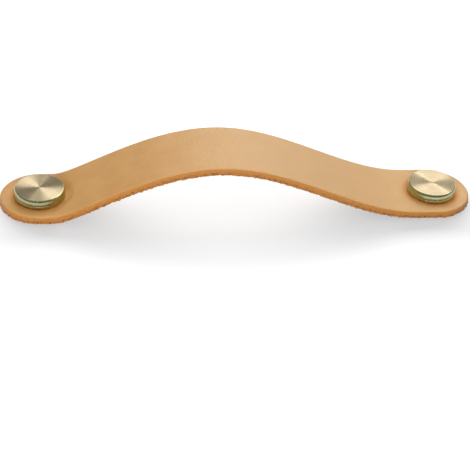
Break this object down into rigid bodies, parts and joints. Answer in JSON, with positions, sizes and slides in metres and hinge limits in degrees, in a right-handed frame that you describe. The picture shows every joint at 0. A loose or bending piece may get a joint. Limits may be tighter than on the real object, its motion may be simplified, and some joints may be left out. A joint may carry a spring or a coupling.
{
  "type": "leather strap pull",
  "caption": "Arched tan leather strap pull with round ends, held by two spun brass heads that take screws from behind the panel.",
  "frame": {"origin": "on the face of the door or drawer front that the strap is screwed to, midway between the two screw axes", "axes": "+X along the strap from the left head to the right head, +Y across the strap, away from the viewer of the picture, +Z out of the panel"},
  "size_m": [0.153, 0.025, 0.041],
  "materials": {
    "leather": "vegetable-tanned grain, waxed satin, raw cut edge",
    "brass": "pale brass, face spun in rings, bevel and side polished",
    "screw_steel": "zinc plated"
  },
  "bodies": {
    "root": {"strap": "leather", "left_head": "brass", "right_head": "brass", "left_screw": "screw_steel", "right_screw": "screw_steel"}
  },
  "joints": []
}
